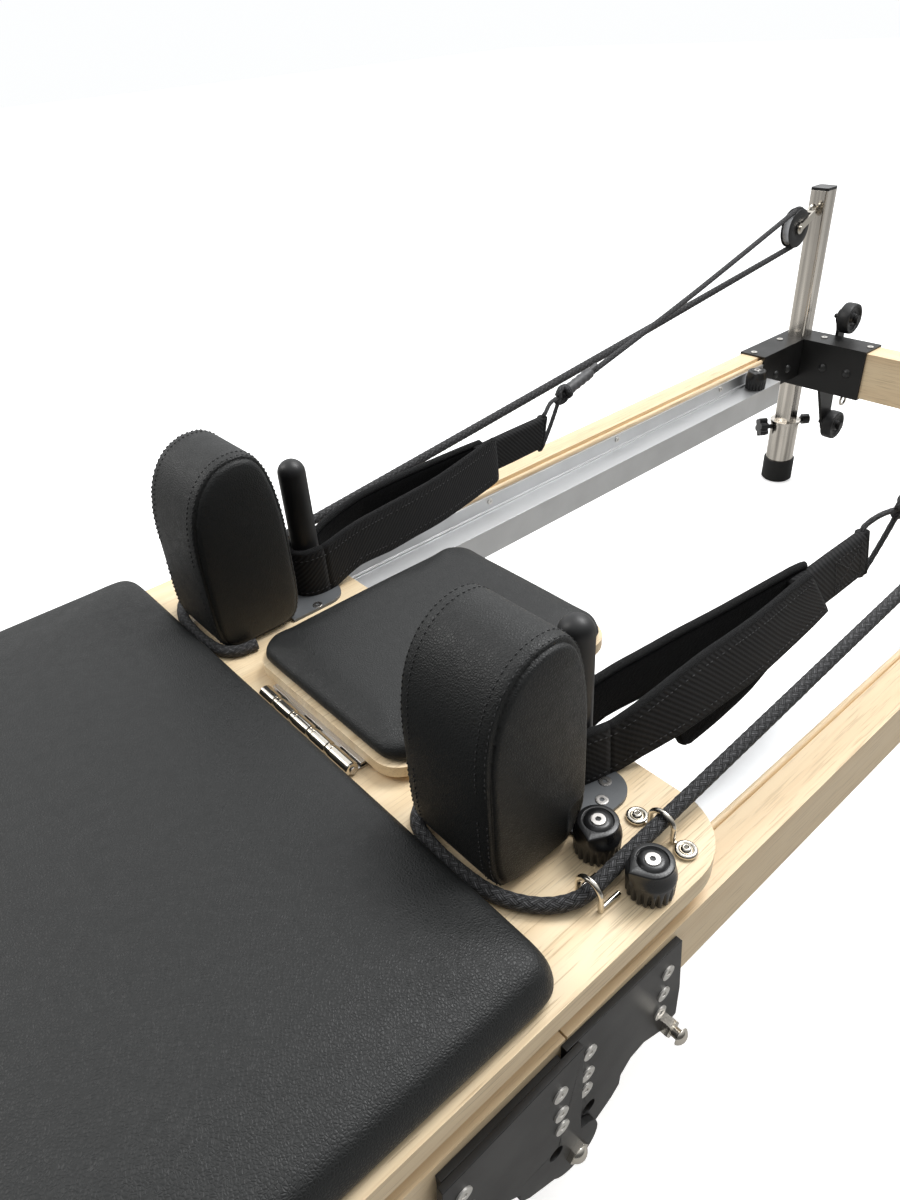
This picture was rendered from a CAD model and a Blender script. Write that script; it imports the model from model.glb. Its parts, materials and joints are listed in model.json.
"""Looks of the folding pilates reformer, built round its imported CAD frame. Metres, Z up, +X to the head end."""

import json
import math

import bmesh
import bpy
import numpy as np
from mathutils import Matrix, Vector
from mathutils.bvhtree import BVHTree


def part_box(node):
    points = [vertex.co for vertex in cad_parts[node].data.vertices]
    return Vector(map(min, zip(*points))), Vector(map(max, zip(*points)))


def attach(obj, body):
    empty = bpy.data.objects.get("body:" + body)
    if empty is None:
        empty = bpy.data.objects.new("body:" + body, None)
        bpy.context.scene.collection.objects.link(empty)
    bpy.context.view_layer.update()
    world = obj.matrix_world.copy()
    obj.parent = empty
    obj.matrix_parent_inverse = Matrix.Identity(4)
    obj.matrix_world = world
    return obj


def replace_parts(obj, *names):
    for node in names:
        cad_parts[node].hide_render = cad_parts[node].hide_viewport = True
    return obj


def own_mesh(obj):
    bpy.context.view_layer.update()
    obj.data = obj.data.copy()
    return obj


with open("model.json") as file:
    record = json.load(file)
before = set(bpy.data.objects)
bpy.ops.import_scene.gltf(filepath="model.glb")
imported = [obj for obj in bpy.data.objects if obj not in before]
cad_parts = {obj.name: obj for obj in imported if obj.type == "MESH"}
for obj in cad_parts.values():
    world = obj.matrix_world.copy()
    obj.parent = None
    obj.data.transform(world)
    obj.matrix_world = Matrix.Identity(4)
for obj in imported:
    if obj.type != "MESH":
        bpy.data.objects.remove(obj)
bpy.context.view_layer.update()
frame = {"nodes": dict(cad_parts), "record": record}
NODES = frame["nodes"]
MM = 0.001
SIDES = {"left": 1, "right": -1}
AXIS_X, AXIS_Y, AXIS_Z = Vector((1, 0, 0)), Vector((0, 1, 0)), Vector((0, 0, 1))


# ---------------------------------------------------------------- materials


class Paint:
    """A Principled material that is built up node by node."""

    def __init__(self, name):
        self.material = bpy.data.materials.new(name)
        self.material.use_nodes = True
        self.tree = self.material.node_tree
        self.surface = self.tree.nodes["Principled BSDF"]

    def feed(self, socket, value):
        if isinstance(value, bpy.types.NodeSocket):
            self.tree.links.new(value, socket)
        else:
            socket.default_value = value

    def add(self, kind, inputs, **settings):
        node = self.tree.nodes.new("ShaderNode" + kind)
        for key, value in settings.items():
            setattr(node, key, value)
        for key, value in inputs.items():
            self.feed(node.inputs[key], value)
        return node

    def coords(self, stretch=(1, 1, 1), source="Object"):
        place = self.add("TexCoord", {})
        return self.add("Mapping", {"Vector": place.outputs[source], "Scale": stretch}).outputs[0]

    def noise(self, vector, scale, detail=3.0, distortion=0.0):
        inputs = {"Vector": vector, "Scale": scale, "Detail": detail, "Distortion": distortion}
        return self.add("TexNoise", inputs).outputs["Fac"]

    def cells(self, vector, scale, feature="F1"):
        node = self.add("TexVoronoi", {"Vector": vector, "Scale": scale}, feature=feature)
        return node.outputs["Distance"]

    def waves(self, vector, scale, direction="X", distortion=0.0):
        inputs = {"Vector": vector, "Scale": scale, "Distortion": distortion}
        return self.add("TexWave", inputs, bands_direction=direction).outputs["Fac"]

    def math(self, operation, a, b=0.0):
        return self.add("Math", {0: a, 1: b}, operation=operation).outputs[0]

    def span(self, value, low, high, to_low, to_high):
        inputs = {"Value": value, "From Min": low, "From Max": high, "To Min": to_low, "To Max": to_high}
        return self.add("MapRange", inputs).outputs[0]

    def mix(self, share, a, b):
        node = self.add("Mix", {0: share}, data_type="RGBA")
        self.feed(node.inputs[6], (*a, 1) if isinstance(a, tuple) else a)
        self.feed(node.inputs[7], (*b, 1) if isinstance(b, tuple) else b)
        return node.outputs[2]

    def bump(self, height, distance, strength=1.0, under=None):
        inputs = {"Height": height, "Distance": distance, "Strength": strength}
        if under is not None:
            inputs["Normal"] = under
        return self.add("Bump", inputs).outputs[0]

    def done(self, **inputs):
        for key, value in inputs.items():
            socket = self.surface.inputs[key.replace("_", " ")]
            self.feed(socket, (*value, 1) if isinstance(value, tuple) and len(value) == 3 else value)
        return self.material


def wood(name, along, light, dark, fleck):
    """Lacquered pale hardwood with its grain along one axis."""
    p = Paint(name)
    slow, slower = [1.0] * 3, [1.0] * 3
    slow[along], slower[along] = 0.09, 0.03
    board = p.coords(slow)
    fibre = p.coords(slower)
    cloud = p.noise(board, 14, 3, 0.8)
    rings = p.waves(board, 11, "Y" if along == 0 else "X", 9.0)
    tone = p.span(p.math("ADD", p.math("MULTIPLY", cloud, 0.65), p.math("MULTIPLY", rings, 0.35)), 0.3, 0.75, 0, 1)
    base = p.mix(tone, light, dark)
    patches = p.span(p.noise(board, 9, 2), 0.35, 0.62, 0.25, 1)
    streak = p.span(p.noise(fibre, 330, 2.5), 0.50, 0.66, 0, 1)
    pores = p.span(p.noise(fibre, 820, 1.5), 0.58, 0.66, 0, 1)
    colour = p.mix(p.math("MULTIPLY", p.math("MULTIPLY", streak, 0.40), patches), base, fleck)
    colour = p.mix(p.math("MULTIPLY", p.math("MULTIPLY", pores, 0.6), patches), colour,
                   tuple(c * 0.66 for c in fleck))
    grain = p.math("ADD", p.math("MULTIPLY", streak, 0.5), pores)
    rough = p.span(p.noise(board, 40), 0.3, 0.7, 0.40, 0.52)
    return p.done(
        Base_Color=colour,
        Roughness=rough,
        Normal=p.bump(p.math("SUBTRACT", 1.0, grain), 0.00015, 0.6),
        Coat_Weight=0.06,
        Coat_Roughness=0.25,
    )


def metal(name, colour, roughness, along=None, streak=0.06, scratch=0.00002, bands=900, banding=0.0):
    """Bare metal with faint drawn or rolled lines along one axis, soft smudges and darker long bands."""
    p = Paint(name)
    stretch = [1.0, 1.0, 1.0]
    if along is not None:
        stretch[along] = 0.012
    place = p.coords(stretch)
    lines = p.noise(place, bands, 2)
    smudge = p.noise(p.coords(), 23, 3)
    rough = p.math("ADD", p.span(lines, 0.3, 0.7, roughness - streak, roughness + streak),
                   p.span(smudge, 0.35, 0.7, -0.02, 0.05))
    shade = p.mix(p.span(smudge, 0.3, 0.75, 0, 0.35), colour, tuple(c * 0.78 for c in colour))
    if banding:
        broad = p.span(p.noise(place, 95, 2), 0.42, 0.6, 0, banding)
        shade = p.mix(broad, shade, tuple(c * 0.28 for c in colour))
    return p.done(Base_Color=shade, Metallic=1.0, Roughness=rough, Normal=p.bump(lines, scratch, 0.6))


def bracket_screws(name):
    """Stainless screws, with blackened ones on the inner faces of the corner brackets."""
    p = Paint(name)
    split = p.add("SeparateXYZ", {0: p.coords()})
    far = p.math("GREATER_THAN", p.math("ABSOLUTE", split.outputs[0]), 1.067)
    inside = p.math("LESS_THAN", p.math("ABSOLUTE", split.outputs[1]), 0.2565)
    under = p.math("LESS_THAN", split.outputs[2], 0.264)
    black = p.math("MULTIPLY", p.math("MULTIPLY", far, inside), under)
    smudge = p.noise(p.coords(), 300, 3)
    bright = p.mix(p.span(smudge, 0.3, 0.7, 0, 1), (0.74, 0.72, 0.68), (0.60, 0.58, 0.55))
    return p.done(
        Base_Color=p.mix(black, bright, (0.012, 0.012, 0.012)),
        Metallic=p.math("MULTIPLY", p.math("SUBTRACT", 1.0, black), 0.8),
        Roughness=p.span(smudge, 0.3, 0.7, 0.38, 0.48),
    )


def powder_coat(name, colour, roughness):
    """Satin powder coat: fine orange peel, with a little dust in its dips."""
    p = Paint(name)
    peel = p.noise(p.coords(), 900, 2)
    cloud = p.noise(p.coords(), 18, 4)
    rough = p.span(cloud, 0.3, 0.7, roughness - 0.05, roughness + 0.07)
    shade = p.mix(p.span(cloud, 0.35, 0.8, 0, 1), colour, tuple(c * 1.4 + 0.002 for c in colour))
    return p.done(Base_Color=shade, Roughness=rough, Normal=p.bump(peel, 0.00006, 0.7), Specular_IOR_Level=0.35)


def leather(name, colour, pebble=520.0):
    """Pebbled leatherette: rounded cells between fine creases, over broad soft creases."""
    p = Paint(name)
    place = p.coords()
    warp = p.add("VectorMath", {0: place}, operation="ADD")
    swirl = p.add("TexNoise", {"Vector": place, "Scale": 170.0, "Detail": 2.0})
    shift = p.add("VectorMath", {0: swirl.outputs["Color"], 1: (0.003,) * 3}, operation="MULTIPLY")
    p.feed(warp.inputs[1], shift.outputs[0])
    cells = p.cells(warp.outputs[0], pebble, "DISTANCE_TO_EDGE")
    dome = p.math("SINE", p.span(cells, 0.0, 0.45, 0.0, math.pi / 2))
    fine = p.noise(place, 2300, 2)
    creases = p.noise(place, 95, 4, 0.6)
    height = p.math("ADD", dome, p.math("MULTIPLY", fine, 0.22))
    pebbles = p.bump(height, 0.00024, 0.75)
    shade = p.mix(dome, tuple(c * 1.3 + 0.001 for c in colour), colour)
    rough = p.math("ADD", p.span(dome, 0, 1, 0.60, 0.42), p.span(creases, 0.3, 0.7, -0.04, 0.05))
    return p.done(
        Base_Color=shade,
        Roughness=rough,
        Normal=p.bump(creases, 0.0006, 0.22, pebbles),
        Specular_IOR_Level=0.42,
    )


def plastic(name, colour, roughness, texture=0.00005, grain=1500):
    """Moulded plastic or rubber with a fine spark texture and slight wear."""
    p = Paint(name)
    spark = p.noise(p.coords(), grain, 2)
    wear = p.noise(p.coords(), 60, 4)
    rough = p.math("ADD", roughness, p.span(wear, 0.3, 0.75, -0.05, 0.09))
    shade = p.mix(p.span(wear, 0.45, 0.8, 0, 0.5), colour, tuple(c * 1.7 + 0.003 for c in colour))
    return p.done(Base_Color=shade, Roughness=rough, Normal=p.bump(spark, texture, 0.8))


def braided_rope(name):
    """Polyester braid: strands that pass over and under each other, three grey-flecked yarns in each."""
    p = Paint(name)
    run = p.coords((1, 1, 1), "UV")
    split = p.add("SeparateXYZ", {0: run})
    turn = p.math("MULTIPLY", split.outputs[1], BRAID_STRANDS)
    climb = p.math("MULTIPLY", split.outputs[0], 1 / BRAID_PITCH)
    one, two = p.math("ADD", turn, climb), p.math("SUBTRACT", turn, climb)
    cell = p.math("ADD", p.math("FLOOR", one), p.math("FLOOR", two))
    odd = p.math("MULTIPLY", p.math("FRACT", p.math("MULTIPLY", cell, 0.5)), 2.0)
    across = p.math("ADD", p.math("MULTIPLY", odd, p.math("FRACT", one)),
                    p.math("MULTIPLY", p.math("SUBTRACT", 1.0, odd), p.math("FRACT", two)))
    yarns = p.math("ABSOLUTE", p.math("SINE", p.math("MULTIPLY", across, 3 * math.pi)))
    crown = p.math("SINE", p.math("MULTIPLY", across, math.pi))
    fleck = p.span(p.noise(p.coords(), 620, 2), 0.40, 0.60, 0.55, 1)
    light = p.math("MULTIPLY", p.math("MULTIPLY", yarns, crown), fleck)
    return p.done(
        Base_Color=p.mix(light, (0.004, 0.004, 0.004), (0.12, 0.12, 0.125)),
        Roughness=0.72,
        Specular_IOR_Level=0.2,
        Normal=p.bump(p.math("ADD", yarns, crown), 0.0003, 0.7),
        Sheen_Weight=0.04,
    )


def webbing(name, colour):
    """Twill webbing: fine diagonal ribs in the ribbon's own length and width."""
    p = Paint(name)
    run = p.coords((1, 1, 1), "UV")
    ribs = p.waves(run, 120, "DIAGONAL")
    cross = p.waves(run, 300, "X")
    fuzz = p.noise(p.coords(), 1200, 3)
    height = p.math("ADD", p.math("ADD", ribs, p.math("MULTIPLY", cross, 0.4)), p.math("MULTIPLY", fuzz, 0.6))
    shade = p.mix(p.span(height, 0.6, 1.7, 0, 1), tuple(c * 0.35 for c in colour), colour)
    return p.done(Base_Color=shade, Roughness=0.85, Specular_IOR_Level=0.15,
                  Normal=p.bump(height, 0.0004, 0.8), Sheen_Weight=0.03)


def fleece(name, colour):
    """Brushed pile lining: soft clumps and a faint sheen."""
    p = Paint(name)
    clump = p.noise(p.coords(), 420, 4, 0.5)
    pile = p.noise(p.coords(), 1900, 2)
    height = p.math("ADD", clump, p.math("MULTIPLY", pile, 0.5))
    shade = p.mix(p.span(clump, 0.35, 0.7, 0, 1), tuple(c * 0.5 for c in colour), colour)
    return p.done(Base_Color=shade, Roughness=0.95, Specular_IOR_Level=0.05,
                  Normal=p.bump(height, 0.0008, 0.8), Sheen_Weight=0.05)


def thread(name, colour):
    """Twisted sewing thread."""
    p = Paint(name)
    twist = p.waves(p.coords(), 900, "DIAGONAL")
    return p.done(Base_Color=p.mix(twist, colour, tuple(c * 0.5 for c in colour)), Roughness=0.6,
                  Normal=p.bump(twist, 0.0001, 0.6))


BRAID_STRANDS = 6.0
BRAID_PITCH = 8.5 * MM

OAK_LIGHT, OAK_DARK, OAK_FLECK = (0.86, 0.70, 0.47), (0.80, 0.62, 0.39), (0.60, 0.41, 0.22)
RAIL_LIGHT, RAIL_DARK = (0.83, 0.66, 0.43), (0.78, 0.59, 0.37)
MATERIALS = {
    "rail_wood": wood("rail_wood_lengthwise", 0, RAIL_LIGHT, RAIL_DARK, OAK_FLECK),
    "bar_wood": wood("rail_wood_crosswise", 1, RAIL_LIGHT, RAIL_DARK, OAK_FLECK),
    "ply_wood": wood("ply_face", 0, OAK_LIGHT, OAK_DARK, OAK_FLECK),
    "track_aluminium": metal("anodised_track", (0.62, 0.625, 0.63), 0.44, None, 0.05, 0.00004, 1400),
    "black_steel": powder_coat("black_powder_coat", (0.0085, 0.0082, 0.008), 0.40),
    "plate_steel": powder_coat("grey_powder_coat", (0.095, 0.10, 0.105), 0.45),
    "chrome_tube": metal("polished_tube", (0.82, 0.77, 0.70), 0.20, 2, 0.05, banding=0.6),
    "nickel": metal("bright_nickel", (0.66, 0.62, 0.55), 0.13, None, 0.03),
    "stainless": metal("brushed_stainless", (0.50, 0.48, 0.46), 0.28, 1),
    "screws": bracket_screws("bracket_screws"),
    "black_plastic": plastic("gloss_knob_plastic", (0.0065, 0.0065, 0.007), 0.30, 0.00012, 900),
    "peg_plastic": plastic("matte_peg_plastic", (0.008, 0.008, 0.0085), 0.44),
    "sheave_plastic": plastic("sheave_plastic", (0.46, 0.47, 0.49), 0.42),
    "rubber": plastic("foot_rubber", (0.007, 0.007, 0.007), 0.62, 0.0001),
    "wheel_rubber": plastic("wheel_rubber", (0.009, 0.009, 0.0095), 0.48),
    "load_wheel": plastic("urethane_wheel", (0.10, 0.11, 0.12), 0.38),
    "black_leather": leather("pebbled_leatherette", (0.0060, 0.0066, 0.0066)),
    "rope_braid": braided_rope("braided_rope"),
    "strap_webbing": webbing("strap_twill", (0.024, 0.024, 0.025)),
    "strap_fleece": fleece("strap_fleece", (0.0065, 0.0065, 0.007)),
    "grip_foam": plastic("grip_foam", (0.010, 0.010, 0.010), 0.75, 0.0004, 500),
    "spring_steel": metal("spring_wire", (0.50, 0.50, 0.51), 0.24),
    "thread": thread("black_thread", (0.036, 0.036, 0.038)),
    "sleeve": plastic("rope_sleeve", (0.055, 0.055, 0.058), 0.50, 0.00015, 400),
}


# ---------------------------------------------------------------- mesh tools


def make_piece(name, verts, faces, material, body, uvs=None, smooth=True):
    """A mesh object from corner points and faces, with its material, riding on a CAD body."""
    mesh = bpy.data.meshes.new(name)
    mesh.from_pydata([tuple(v) for v in verts], [], faces)
    if uvs is not None:
        layer = mesh.uv_layers.new(name="run")
        for loop in mesh.loops:
            layer.data[loop.index].uv = uvs[loop.vertex_index]
    mesh.polygons.foreach_set("use_smooth", [smooth] * len(mesh.polygons))
    obj = bpy.data.objects.new(name, mesh)
    bpy.context.scene.collection.objects.link(obj)
    obj.data.materials.append(MATERIALS[material])
    if body:
        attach(obj, body)
    return obj


def ring_faces(rows, count, closed_ends=True, loop=False):
    """Faces that join rows of count points each, with the two ends filled unless the rows loop."""
    faces = []
    for r in range(rows if loop else rows - 1):
        a, b = r * count, ((r + 1) % rows) * count
        faces += [(a + i, a + (i + 1) % count, b + (i + 1) % count, b + i) for i in range(count)]
    if closed_ends and not loop:
        faces.append(tuple(reversed(range(count))))
        last = (rows - 1) * count
        faces.append(tuple(range(last, last + count)))
    return faces


def merged(parts):
    """One vertex list and face list from several."""
    verts, faces = [], []
    for v, f in parts:
        start = len(verts)
        verts += [tuple(p) for p in v]
        faces += [tuple(i + start for i in face) for face in f]
    return verts, faces


def smooth_path(points, step):
    """Points about a step apart on a Catmull-Rom curve through the given points."""
    pts = [Vector(p) for p in points]
    pts = [pts[0] * 2 - pts[1]] + pts + [pts[-1] * 2 - pts[-2]]
    path = []
    for i in range(1, len(pts) - 2):
        a, b, c, d = pts[i - 1 : i + 3]
        count = max(2, int((c - b).length / step))
        for k in range(count):
            t = k / count
            path.append(0.5 * (2 * b + (c - a) * t + (2 * a - 5 * b + 4 * c - d) * t * t
                               + (3 * b - a - 3 * c + d) * t ** 3))
    path.append(pts[-2])
    return path


def path_frames(path):
    """A side and an up direction at each point that turn as little as possible along the path."""
    frames = []
    up = AXIS_Z if abs((path[1] - path[0]).normalized().z) < 0.9 else AXIS_Y
    for i, p in enumerate(path):
        ahead = (path[min(i + 1, len(path) - 1)] - path[max(i - 1, 0)]).normalized()
        side = ahead.cross(up).normalized()
        up = side.cross(ahead).normalized()
        frames.append((side, up))
    return frames


def swept_tube(path, radius, sides=12, relief=None):
    """Corner points, faces and run UVs of a tube along a path; relief(length, turn) adds to its radius."""
    verts, uvs, length = [], [], 0.0
    for i, (p, (side, up)) in enumerate(zip(path, path_frames(path))):
        if i:
            length += (p - path[i - 1]).length
        r0 = radius[i] if isinstance(radius, (list, np.ndarray)) else radius
        for k in range(sides):
            turn = k / sides
            r = r0 + (relief(length, turn) if relief else 0.0)
            verts.append(p + (side * math.cos(turn * math.tau) + up * math.sin(turn * math.tau)) * r)
            uvs.append((length, turn))
    return verts, ring_faces(len(path), sides), uvs


def plaits(length, turn):
    """Height of a braid's strands, which pass over and under each other, from the rope's mean surface."""
    one = turn * BRAID_STRANDS + length / BRAID_PITCH
    two = turn * BRAID_STRANDS - length / BRAID_PITCH
    over, under = (one, two) if (math.floor(one) + math.floor(two)) % 2 else (two, one)
    return 0.35 * MM * math.sin(math.pi * (over % 1)) * (0.4 + 0.6 * math.sin(math.pi * (under % 1)))


def rope_piece(name, points, radius, body, far_radius=None):
    """A braided rope through the points; with a second radius it changes over its first part."""
    path = smooth_path(points, 1.3 * MM)
    radii = np.interp(np.linspace(0, 1, len(path)), (0, 0.4, 1), (radius, far_radius or radius, far_radius or radius))
    verts, faces, uvs = swept_tube(path, radii, 32, plaits)
    return make_piece(name, verts, faces, "rope_braid", body, uvs)


def flat_strip(path, across, width, thickness):
    """Corner points and faces of a bent metal strip along a path, its width in one fixed direction."""
    verts = []
    for i, p in enumerate(path):
        ahead = (path[min(i + 1, len(path) - 1)] - path[max(i - 1, 0)]).normalized()
        out = ahead.cross(across).normalized()
        ring = rounded_rectangle(width / 2, thickness / 2, thickness * 0.4, 2)
        verts += [p + across * x + out * y for x, y in ring]
    return verts, ring_faces(len(path), len(verts) // len(path))


def lathe(profile, centre, axis, steps=48, relief=None):
    """Corner points and faces of a profile of (radius, height) turned about an axis through a centre."""
    axis = axis.normalized()
    side = axis.cross(AXIS_X if abs(axis.x) < 0.9 else AXIS_Y).normalized()
    up = axis.cross(side)
    verts = []
    for radius, height in profile:
        for k in range(steps):
            a = math.tau * k / steps
            r = radius + (relief(radius, height, a) if relief else 0.0)
            verts.append(centre + axis * height + (side * math.cos(a) + up * math.sin(a)) * r)
    return verts, ring_faces(len(profile), steps)


def centre_of(node):
    low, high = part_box(node)
    return (low + high) / 2


def rounded_rectangle(half_x, half_y, radius, arc=10):
    """Points round a rectangle with rounded corners, centred on the origin."""
    points = []
    for quarter, (sx, sy) in enumerate([(1, 1), (-1, 1), (-1, -1), (1, -1)]):
        for k in range(arc + 1):
            a = math.pi / 2 * (quarter + k / arc)
            points.append((sx * (half_x - radius) + radius * math.cos(a),
                           sy * (half_y - radius) + radius * math.sin(a)))
    return points


# ---------------------------------------------------------------- cushions


def evaluated_coords(obj):
    scene_graph = bpy.context.evaluated_depsgraph_get()
    shaped = obj.evaluated_get(scene_graph)
    mesh = shaped.to_mesh()
    coords = np.zeros(len(mesh.vertices) * 3)
    mesh.vertices.foreach_get("co", coords)
    shaped.to_mesh_clear()
    return coords.reshape(-1, 3)


def apply_modifier(obj, modifier):
    bpy.context.view_layer.objects.active = obj
    with bpy.context.temp_override(object=obj, active_object=obj, selected_objects=[obj]):
        bpy.ops.object.modifier_apply(modifier=modifier.name)


def puff(obj, voxel, cap, held, pressure=4.0, relaxing=10):
    """Swells a closed cushion by cloth simulation. Points that held() picks stay put, and none moves past the cap."""
    remesh = obj.modifiers.new("remesh", "REMESH")
    remesh.mode = "VOXEL"
    remesh.voxel_size = voxel
    apply_modifier(obj, remesh)
    mesh = obj.data
    start = np.zeros(len(mesh.vertices) * 3)
    mesh.vertices.foreach_get("co", start)
    start = start.reshape(-1, 3)
    pins = obj.vertex_groups.new(name="held")
    pins.add([i for i, co in enumerate(start) if held(co)], 1.0, "REPLACE")
    cloth = obj.modifiers.new("cloth", "CLOTH")
    cloth.settings.use_pressure = True
    cloth.settings.uniform_pressure_force = pressure
    cloth.settings.vertex_group_mass = "held"
    cloth.settings.effector_weights.gravity = 0
    cloth.settings.tension_stiffness = 25
    cloth.settings.bending_stiffness = 2
    cloth.collision_settings.use_collision = False
    cloth.point_cache.frame_end = SWELL_FRAMES
    for step in range(1, SWELL_FRAMES + 1):
        bpy.context.scene.frame_set(step)
    swollen = evaluated_coords(obj)
    obj.modifiers.remove(cloth)
    bpy.context.scene.frame_set(1)
    move = swollen - start
    far = np.linalg.norm(move, axis=1, keepdims=True)
    limited = move * np.minimum(1.0, cap * np.tanh(far / cap) / np.maximum(far, 1e-9))
    mesh.vertices.foreach_set("co", (start + limited).ravel())
    obj.vertex_groups.remove(pins)
    relax = obj.modifiers.new("relax", "SMOOTH")
    relax.iterations = relaxing
    apply_modifier(obj, relax)
    finer = obj.modifiers.new("finer", "SUBSURF")
    finer.levels = finer.render_levels = 1
    apply_modifier(obj, finer)
    obj.data.polygons.foreach_set("use_smooth", [True] * len(obj.data.polygons))


SWELL_FRAMES = 20


def slab_cushion(name, node, body, corner, edge, swell, voxel, clear=0.0):
    """A flat-bottomed cushion in a CAD pad's place: sides that pull in, a rolled top edge and a crown."""
    low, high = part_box(node)
    middle, half = (low + high) / 2, (high - low) / 2
    height = high.z - low.z - 1.5 * MM
    rows = [(3 * MM, 0.0), (0.8 * MM, 2 * MM), (0.0, height * 0.30), (1.2 * MM, height - edge)]
    rows += [(edge * (1 - math.cos(a)) + 1.2 * MM, height - edge + edge * math.sin(a))
             for a in (0.35, 0.7, 1.05, 1.35, math.pi / 2)]
    rows += [(edge * 2.2, height + swell * 0.35), (edge * 5, height + swell * 0.7)]
    verts, count = [], 0
    for inset, rise in rows:
        ring = rounded_rectangle(half.x - inset - clear, half.y - inset - clear, max(corner - inset * 0.6, 4 * MM))
        count = len(ring)
        verts += [(middle.x + x, middle.y + y, low.z + rise) for x, y in ring]
    pad = make_piece(name, verts, ring_faces(len(rows), count), "black_leather", None)
    puff(pad, voxel, swell, lambda co: co[2] < low.z + height * 0.35)
    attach(pad, body)
    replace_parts(pad, node)
    return pad


def surface_tree(obj):
    mesh = obj.data
    verts = [v.co.copy() for v in mesh.vertices]
    return BVHTree.FromPolygons(verts, [tuple(p.vertices) for p in mesh.polygons])


def stitches(name, path, body, spacing=4.6 * MM, length=3.0 * MM, radius=0.42 * MM, normals=None):
    """A row of separate sewn stitches along a path, each a small plump bead of thread."""
    parts, travelled, last = [], 0.0, path[0]
    for i in range(1, len(path)):
        travelled += (path[i] - last).length
        last = path[i]
        if travelled < spacing:
            continue
        travelled = 0.0
        ahead = (path[i] - path[i - 1]).normalized() * length / 2
        lift = normals[i] * radius * 0.7 if normals else Vector()
        run = [path[i] - ahead, path[i] - ahead * 0.55 + lift, path[i] + ahead * 0.55 + lift, path[i] + ahead]
        verts, faces, _ = swept_tube(run, [radius * 0.35, radius, radius, radius * 0.35], 6)
        parts.append((verts, faces))
    verts, faces = merged(parts)
    return make_piece(name, verts, faces, "thread", body)


def rest_outline(inset, count=96):
    """Points round a shoulder rest: a round top that leans to the head end, and a squarer bottom."""
    points = []
    for k in range(count):
        c, s = math.cos(math.tau * k / count), math.sin(math.tau * k / count)
        power = REST_TOP_POWER if s > 0 else REST_BASE_POWER
        rise = math.copysign(abs(s) ** power, s)
        x = math.copysign(abs(c) ** power, c) * (REST_HALF_WIDTH - inset) + REST_LEAN * max(0.0, rise) ** 4
        points.append((x, rise * (REST_HALF_HEIGHT - inset)))
    return points


def crease(obj, point, normal, depth, reach):
    """Cuts edge loops along a plane and draws them inwards as a sewn crease."""
    mesh = bmesh.new()
    mesh.from_mesh(obj.data)
    for step in (-1.0, -0.45, 0.0, 0.45, 1.0):
        everything = mesh.verts[:] + mesh.edges[:] + mesh.faces[:]
        cut = point + normal * reach * step
        bmesh.ops.bisect_plane(mesh, geom=everything, dist=1e-6, plane_co=cut, plane_no=normal)
    mesh.normal_update()
    for vert in mesh.verts:
        off = abs((vert.co - point).dot(normal)) / reach
        if off < 1:
            vert.co -= vert.normal * depth * (1 - off) ** 1.4
    mesh.to_mesh(obj.data)
    mesh.free()


def shoulder_rest(side, sign):
    """Upright oval cushion: a wrapped band, bulging side panels, sunk seams and a sewn row beside each."""
    low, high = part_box(f"shoulder_rest_{side}")
    middle = (low + high) / 2
    centre = Vector((middle.x, middle.y, low.z + 1 * MM + REST_HALF_HEIGHT))
    rows = [(REST_SEAM + y, inset) for y, inset in ((4.5 * MM, 34 * MM), (4.2 * MM, 22 * MM), (3.4 * MM, 12 * MM),
                                                    (2.2 * MM, 6 * MM), (0.8 * MM, 2.5 * MM))]
    rows += [(REST_SEAM - 1.5 * MM, 0.9 * MM), (REST_SEAM - 6 * MM, 0.2 * MM), (REST_SEAM * 0.5, 0.0)]
    rows = [(-y, inset) for y, inset in rows] + [(0.0, 0.0)] + [(y, inset) for y, inset in reversed(rows)]
    verts, count = [], 0
    for y, inset in rows:
        ring = rest_outline(inset)
        count = len(ring)
        verts += [(centre.x + x, centre.y + y, centre.z + z) for x, z in ring]
    rest = make_piece(f"shoulder_rest_{side}_cover", verts, ring_faces(len(rows), count), "black_leather", None)
    seams = (centre.y - REST_SEAM, centre.y + REST_SEAM)
    puff(rest, 4 * MM, 2.5 * MM, lambda co: co[2] < centre.z - REST_HALF_HEIGHT + 12 * MM
         or min(abs(co[1] - seams[0]), abs(co[1] - seams[1])) < 3 * MM, relaxing=3)
    for y in seams:
        crease(rest, Vector((0, y, 0)), AXIS_Y, 1.8 * MM, 2.2 * MM)
    clear_of_knob(rest, f"rope_knob_{side}_inner", sign)
    rest.data.polygons.foreach_set("use_smooth", [True] * len(rest.data.polygons))
    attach(rest, "carriage")
    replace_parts(rest, f"shoulder_rest_{side}")
    skin = surface_tree(rest)
    for edge, from_seam, tag in ((1, 10 * MM, "row_a"), (-1, 10 * MM, "row_b"), (1, 2.6 * MM, "seam_a"),
                                 (-1, 2.6 * MM, "seam_b")):
        row, normals = [], []
        for x, z in rest_outline(0.0, 320):
            probe = Vector((centre.x + x, centre.y + edge * (REST_SEAM - from_seam), centre.z + z))
            hit = skin.find_nearest(probe)
            row.append(hit[0])
            normals.append(hit[1])
        stitches(f"shoulder_rest_{side}_{tag}", row, "carriage", 4.0 * MM, 2.4 * MM, 0.40 * MM, normals)
    base_board(side, Vector((centre.x, centre.y, low.z)))
    return rest


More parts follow.
